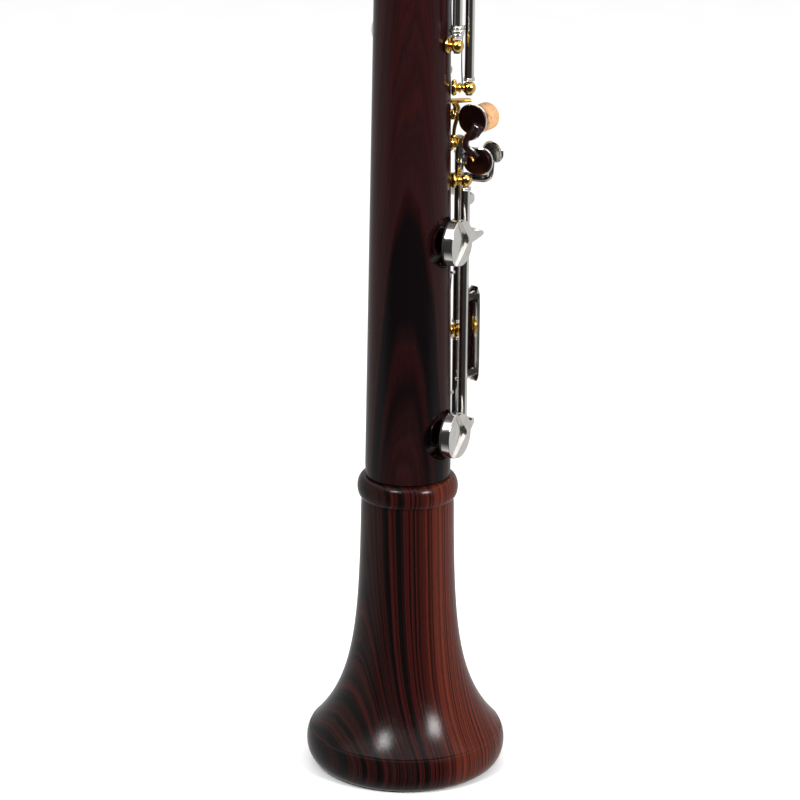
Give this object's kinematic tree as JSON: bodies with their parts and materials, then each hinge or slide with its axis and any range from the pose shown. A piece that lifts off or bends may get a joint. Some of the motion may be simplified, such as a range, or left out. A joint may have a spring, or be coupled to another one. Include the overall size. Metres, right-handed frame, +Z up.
{
  "type": "oboe",
  "caption": "Oboe in three wooden joints with sprung silver keys on gilt posts, standing on its flared bell.",
  "frame": {"origin": "middle of the bell foot, on the bore axis", "axes": "+Z up the bore towards the reed, -Y to the front where the finger plates are, -X to the player's right hand side"},
  "size_m": [0.0654, 0.0654, 0.5861],
  "materials": {
    "rosewood": "oiled and polished cocobolo rosewood",
    "silver": "polished silver plate",
    "gilt": "polished gold plate",
    "pad_skin": "dark pad skin",
    "cork": "sanded cork"
  },
  "bodies": {
    "body": {"bell": "rosewood", "lower_joint": "rosewood", "upper_joint": "rosewood", "lower_tenon_cork": "cork", "upper_tenon_cork": "cork", "reed_well_liner": "silver", "socket_ring": "silver", "low_keys_rod": "gilt", "low_b_lever_rod": "gilt", "c_sharp_rod": "gilt", "e_flat_rod": "gilt", "f_rod": "gilt", "right_hand_rod": "gilt", "lower_trill_rod": "gilt", "left_b_lever_rod": "gilt", "left_e_flat_lever_rod": "gilt", "left_hand_rod": "gilt", "upper_left_rod": "gilt", "side_octave_rod": "gilt", "upper_trill_rod": "gilt", "thumb_octave_rod": "gilt", "thumb_rest": "silver", "pinky_bracket": "gilt"},
    "low_b_key": {"low_b_key": "silver", "low_b_pad": "pad_skin"},
    "low_c_key": {"low_c_key": "silver", "low_c_pad": "pad_skin"},
    "low_b_lever": {"low_b_lever": "silver"},
    "c_sharp_key": {"c_sharp_key": "silver", "c_sharp_pad": "pad_skin", "pinky_cork": "cork"},
    "e_flat_key": {"e_flat_key": "silver", "e_flat_pad": "pad_skin"},
    "f_key": {"f_key": "silver", "f_pad": "pad_skin"},
    "d_key": {"d_key": "silver", "d_pad": "pad_skin"},
    "e_key": {"e_key": "silver", "e_pad": "pad_skin"},
    "f_sharp_key": {"f_sharp_key": "silver", "f_sharp_pad": "pad_skin"},
    "lower_trill_key": {"lower_trill_key": "silver"},
    "left_b_lever": {"left_b_lever": "silver"},
    "left_e_flat_lever": {"left_e_flat_lever": "silver"},
    "g_key": {"g_key": "silver", "g_pad": "pad_skin"},
    "a_key": {"a_key": "silver", "a_pad": "pad_skin"},
    "half_hole_key": {"half_hole_key": "silver", "half_hole_pad": "pad_skin"},
    "c_vent_key": {"c_vent_key": "silver", "c_vent_pad": "pad_skin"},
    "g_sharp_key": {"g_sharp_key": "silver", "g_sharp_pad": "pad_skin"},
    "side_octave_key": {"side_octave_key": "silver", "side_octave_pad": "pad_skin"},
    "upper_trill_key": {"upper_trill_key": "silver", "upper_trill_pad": "pad_skin"},
    "thumb_octave_key": {"thumb_octave_key": "silver", "thumb_octave_pad": "pad_skin"}
  },
  "joints": [
    {"name": "low_b_hinge", "type": "hinge", "parent": "body", "child": "low_b_key", "pos_m": [-0.00535, -0.01645, 0.2], "axis": [0, 0, -1], "range_deg": [0, 10], "stiffness_Nm_per_rad": 0.02, "springref_deg": -3.44},
    {"name": "low_c_hinge", "type": "hinge", "parent": "body", "child": "low_c_key", "pos_m": [-0.00535, -0.01645, 0.2], "axis": [0, 0, -1], "range_deg": [0, 9], "stiffness_Nm_per_rad": 0.02, "springref_deg": -3.44},
    {"name": "low_b_lever_hinge", "type": "hinge", "parent": "body", "child": "low_b_lever", "pos_m": [-0.0104, -0.01432, 0.2], "axis": [0, 0, 1], "range_deg": [0, 6], "stiffness_Nm_per_rad": 0.02, "springref_deg": -3.44},
    {"name": "c_sharp_hinge", "type": "hinge", "parent": "body", "child": "c_sharp_key", "pos_m": [0.00115, -0.01646, 0.2], "axis": [0, 0, -1], "range_deg": [0, 6], "stiffness_Nm_per_rad": 0.02, "springref_deg": -3.44},
    {"name": "e_flat_hinge", "type": "hinge", "parent": "body", "child": "e_flat_key", "pos_m": [0.0078, -0.01351, 0.2], "axis": [0, 0, -1], "range_deg": [0, 4.5], "stiffness_Nm_per_rad": 0.02, "springref_deg": -3.44},
    {"name": "f_hinge", "type": "hinge", "parent": "body", "child": "f_key", "pos_m": [0.01104, -0.01226, 0.2], "axis": [0, 0, -1], "range_deg": [0, 5], "stiffness_Nm_per_rad": 0.02, "springref_deg": -3.44},
    {"name": "d_hinge", "type": "hinge", "parent": "body", "child": "d_key", "pos_m": [-0.01324, -0.01234, 0.2], "axis": [0, 0, 1], "range_deg": [0, 7], "stiffness_Nm_per_rad": 0.02, "springref_deg": -3.44},
    {"name": "e_hinge", "type": "hinge", "parent": "body", "child": "e_key", "pos_m": [-0.01324, -0.01234, 0.2], "axis": [0, 0, 1], "range_deg": [0, 7], "stiffness_Nm_per_rad": 0.02, "springref_deg": -3.44},
    {"name": "f_sharp_hinge", "type": "hinge", "parent": "body", "child": "f_sharp_key", "pos_m": [-0.01324, -0.01234, 0.2], "axis": [0, 0, 1], "range_deg": [0, 7], "stiffness_Nm_per_rad": 0.02, "springref_deg": -3.44},
    {"name": "lower_trill_hinge", "type": "hinge", "parent": "body", "child": "lower_trill_key", "pos_m": [-0.01503, -0.00488, 0.2], "axis": [0, 0, 1], "range_deg": [0, 5], "stiffness_Nm_per_rad": 0.02, "springref_deg": -3.44},
    {"name": "left_b_lever_hinge", "type": "hinge", "parent": "body", "child": "left_b_lever", "pos_m": [0.01677, -0.01089, 0.2], "axis": [0, 0, -1], "range_deg": [0, 5], "stiffness_Nm_per_rad": 0.02, "springref_deg": -3.44},
    {"name": "left_e_flat_lever_hinge", "type": "hinge", "parent": "body", "child": "left_e_flat_lever", "pos_m": [0.01922, -0.00551, 0.2], "axis": [0, 0, -1], "range_deg": [0, 4.5], "stiffness_Nm_per_rad": 0.02, "springref_deg": -3.44},
    {"name": "g_hinge", "type": "hinge", "parent": "body", "child": "g_key", "pos_m": [-0.01248, -0.01124, 0.2], "axis": [0, 0, 1], "range_deg": [0, 7], "stiffness_Nm_per_rad": 0.02, "springref_deg": -3.44},
    {"name": "a_hinge", "type": "hinge", "parent": "body", "child": "a_key", "pos_m": [-0.01248, -0.01124, 0.2], "axis": [0, 0, 1], "range_deg": [0, 7], "stiffness_Nm_per_rad": 0.02, "springref_deg": -3.44},
    {"name": "half_hole_hinge", "type": "hinge", "parent": "body", "child": "half_hole_key", "pos_m": [-0.01248, -0.01124, 0.2], "axis": [0, 0, 1], "range_deg": [0, 7], "stiffness_Nm_per_rad": 0.02, "springref_deg": -3.44},
    {"name": "c_vent_hinge", "type": "hinge", "parent": "body", "child": "c_vent_key", "pos_m": [0.01294, -0.00906, 0.2], "axis": [0, 0, -1], "range_deg": [0, 7], "stiffness_Nm_per_rad": 0.02, "springref_deg": -3.44},
    {"name": "g_sharp_hinge", "type": "hinge", "parent": "body", "child": "g_sharp_key", "pos_m": [0.01294, -0.00906, 0.2], "axis": [0, 0, -1], "range_deg": [0, 7], "stiffness_Nm_per_rad": 0.02, "springref_deg": -3.44},
    {"name": "side_octave_hinge", "type": "hinge", "parent": "body", "child": "side_octave_key", "pos_m": [-0.01446, 0.00203, 0.2], "axis": [0, 0, 1], "range_deg": [0, 6], "stiffness_Nm_per_rad": 0.02, "springref_deg": -3.44},
    {"name": "upper_trill_hinge", "type": "hinge", "parent": "body", "child": "upper_trill_key", "pos_m": [-0.01484, -0.00482, 0.2], "axis": [0, 0, -1], "range_deg": [0, 8], "stiffness_Nm_per_rad": 0.02, "springref_deg": -3.44},
    {"name": "thumb_octave_hinge", "type": "hinge", "parent": "body", "child": "thumb_octave_key", "pos_m": [0, 0.0144, 0.498], "axis": [-1, 0, 0], "range_deg": [0, 6], "stiffness_Nm_per_rad": 0.02, "springref_deg": -5.73}
  ],
  "couplings": [
    {"joint": "low_b_hinge", "follows": "low_b_lever_hinge", "ratio": 1.66},
    {"joint": "left_b_lever_hinge", "follows": "low_b_lever_hinge", "ratio": 0.8},
    {"joint": "left_e_flat_lever_hinge", "follows": "e_flat_hinge", "ratio": 1},
    {"joint": "c_vent_hinge", "follows": "a_hinge", "ratio": 1},
    {"joint": "upper_trill_hinge", "follows": "lower_trill_hinge", "ratio": 1.6}
  ]
}
